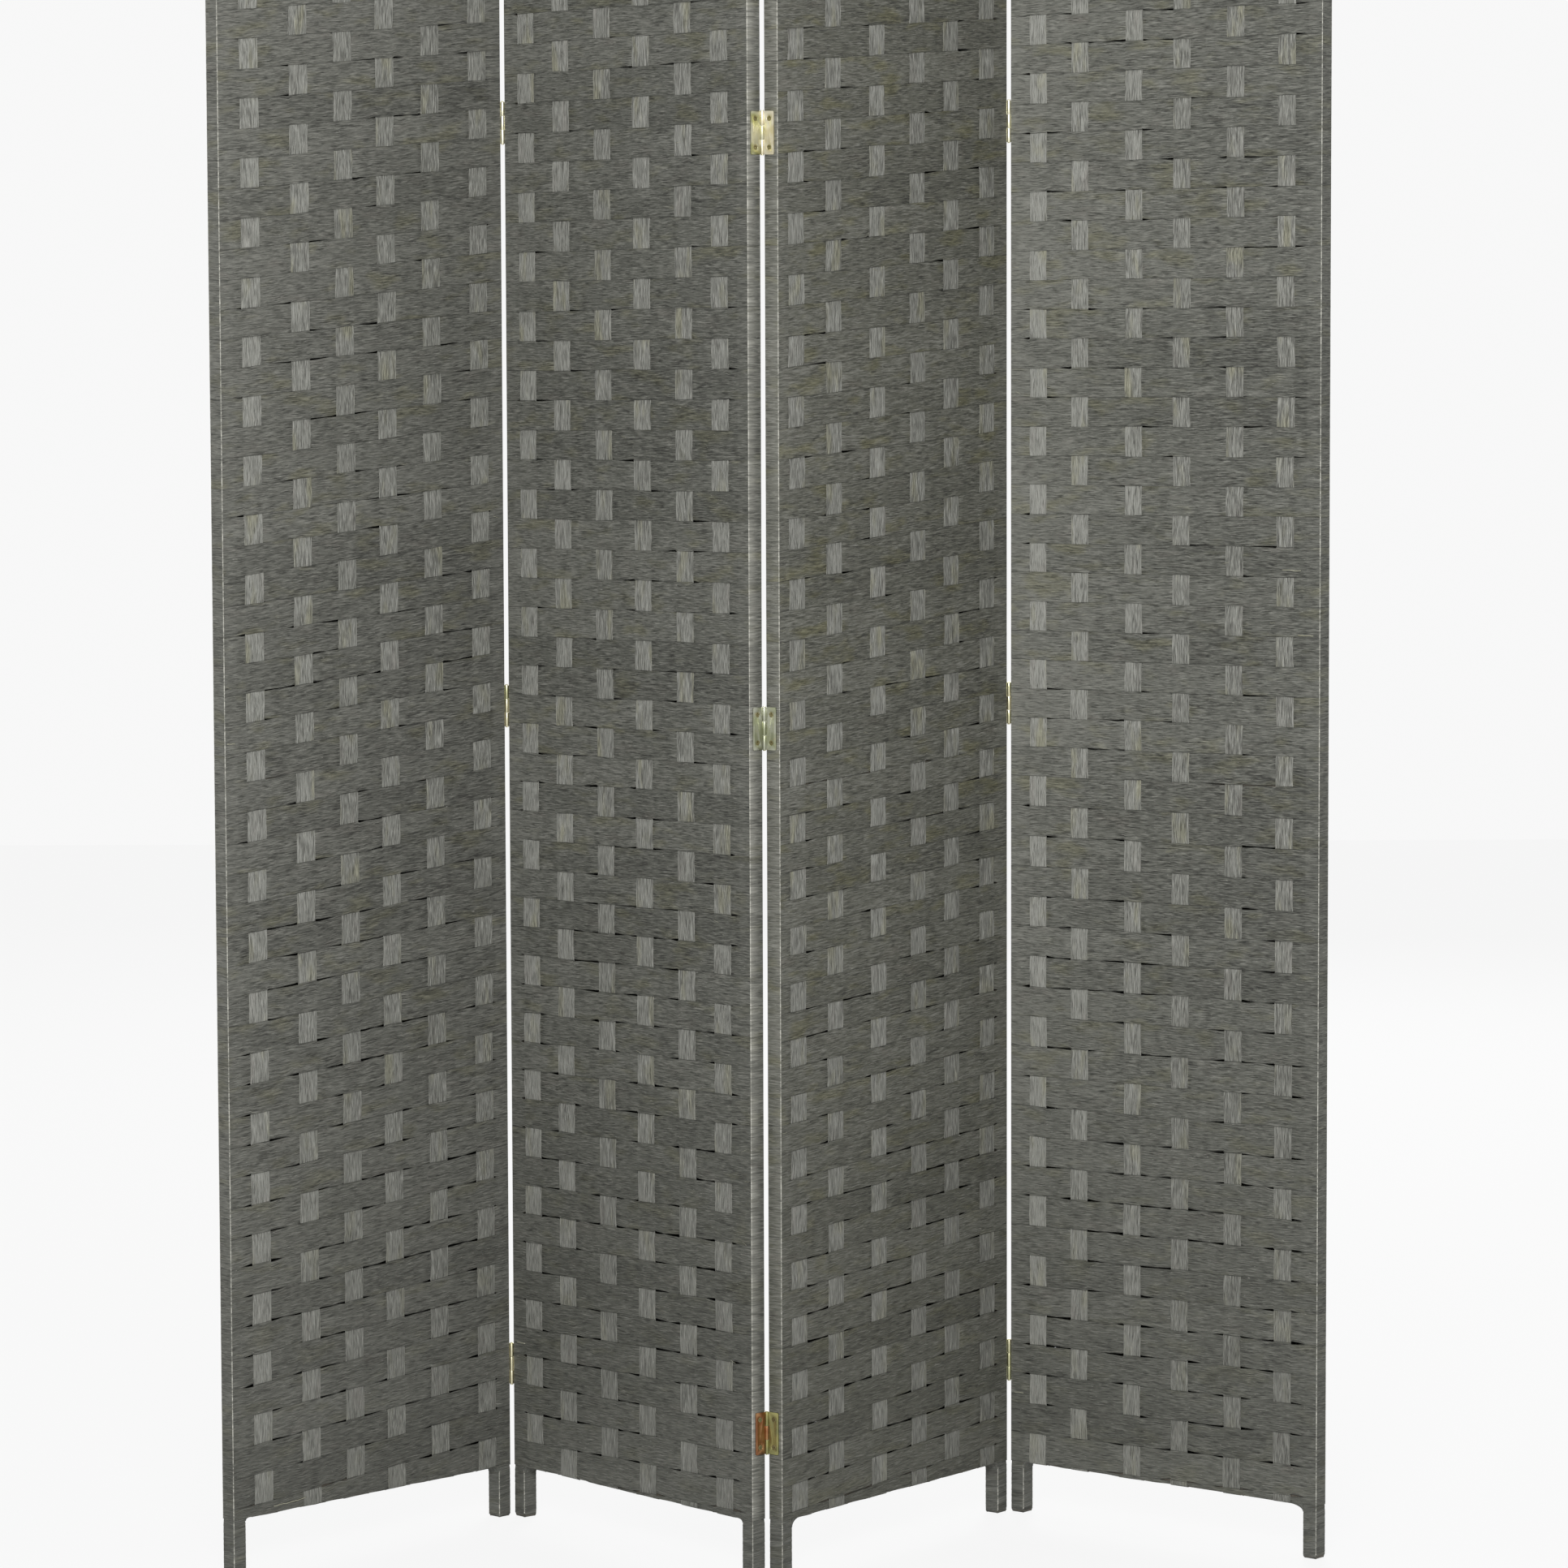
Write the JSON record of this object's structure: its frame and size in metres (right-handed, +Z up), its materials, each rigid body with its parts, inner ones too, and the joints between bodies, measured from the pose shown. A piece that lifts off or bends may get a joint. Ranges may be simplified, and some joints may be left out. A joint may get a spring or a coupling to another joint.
{
  "type": "folding screen",
  "caption": "Folding screen of woven paper-ribbon panels on slim wooden frames with short legs, joined edge to edge by brass butt hinges that fold both ways in turn.",
  "frame": {"origin": "middle of the box round the screen, on the floor", "axes": "+Z up, +X to the viewer's right along the screen, +Y away from the viewer"},
  "size_m": [1.1468, 0.3316, 1.7],
  "materials": {
    "stile_wood": "bare",
    "rail_wood": "bare",
    "warp_paper": "matt",
    "weft_paper": "matt",
    "wrap_paper": "matt",
    "screw_metal": "satin",
    "hinge_brass": "satin",
    "pin_brass": "satin"
  },
  "bodies": {
    "panel_1": {"panel_1_left_stile": "stile_wood", "panel_1_right_stile": "stile_wood", "panel_1_top_rail": "rail_wood", "panel_1_middle_rail": "rail_wood", "panel_1_bottom_rail": "rail_wood", "panel_1_warp_ribbons": "warp_paper", "panel_1_weft_ribbons": "weft_paper", "panel_1_edge_wraps": "wrap_paper", "panel_1_hinge_screws": "screw_metal", "left_fold_low_hinge_left_leaf": "hinge_brass", "left_fold_middle_hinge_left_leaf": "hinge_brass", "left_fold_high_hinge_left_leaf": "hinge_brass"},
    "panel_2": {"panel_2_left_stile": "stile_wood", "panel_2_right_stile": "stile_wood", "panel_2_top_rail": "rail_wood", "panel_2_middle_rail": "rail_wood", "panel_2_bottom_rail": "rail_wood", "panel_2_warp_ribbons": "warp_paper", "panel_2_weft_ribbons": "weft_paper", "panel_2_edge_wraps": "wrap_paper", "panel_2_hinge_screws": "screw_metal", "left_fold_low_hinge_right_leaf": "hinge_brass", "left_fold_middle_hinge_right_leaf": "hinge_brass", "left_fold_high_hinge_right_leaf": "hinge_brass", "left_fold_hinge_pins": "pin_brass", "centre_fold_low_hinge_left_leaf": "hinge_brass", "centre_fold_middle_hinge_left_leaf": "hinge_brass", "centre_fold_high_hinge_left_leaf": "hinge_brass"},
    "panel_3": {"panel_3_left_stile": "stile_wood", "panel_3_right_stile": "stile_wood", "panel_3_top_rail": "rail_wood", "panel_3_middle_rail": "rail_wood", "panel_3_bottom_rail": "rail_wood", "panel_3_warp_ribbons": "warp_paper", "panel_3_weft_ribbons": "weft_paper", "panel_3_edge_wraps": "wrap_paper", "panel_3_hinge_screws": "screw_metal", "centre_fold_low_hinge_right_leaf": "hinge_brass", "centre_fold_middle_hinge_right_leaf": "hinge_brass", "centre_fold_high_hinge_right_leaf": "hinge_brass", "centre_fold_hinge_pins": "pin_brass", "right_fold_low_hinge_left_leaf": "hinge_brass", "right_fold_middle_hinge_left_leaf": "hinge_brass", "right_fold_high_hinge_left_leaf": "hinge_brass"},
    "panel_4": {"panel_4_left_stile": "stile_wood", "panel_4_right_stile": "stile_wood", "panel_4_top_rail": "rail_wood", "panel_4_middle_rail": "rail_wood", "panel_4_bottom_rail": "rail_wood", "panel_4_warp_ribbons": "warp_paper", "panel_4_weft_ribbons": "weft_paper", "panel_4_edge_wraps": "wrap_paper", "panel_4_hinge_screws": "screw_metal", "right_fold_low_hinge_right_leaf": "hinge_brass", "right_fold_middle_hinge_right_leaf": "hinge_brass", "right_fold_high_hinge_right_leaf": "hinge_brass", "right_fold_hinge_pins": "pin_brass"}
  },
  "joints": [
    {"name": "left_fold", "type": "hinge", "parent": "panel_2", "child": "panel_1", "pos_m": [-0.28364, 0.14062, 0.85], "axis": [0, 0, 1], "range_deg": [-96.5, 83.5]},
    {"name": "centre_fold", "type": "hinge", "parent": "panel_2", "child": "panel_3", "pos_m": [-0.0093, -0.15487, 0.85], "axis": [0, 0, 1], "range_deg": [-102.5, 77.5]},
    {"name": "right_fold", "type": "hinge", "parent": "panel_3", "child": "panel_4", "pos_m": [0.25188, 0.1523, 0.85], "axis": [0, 0, -1], "range_deg": [-92, 88]}
  ]
}
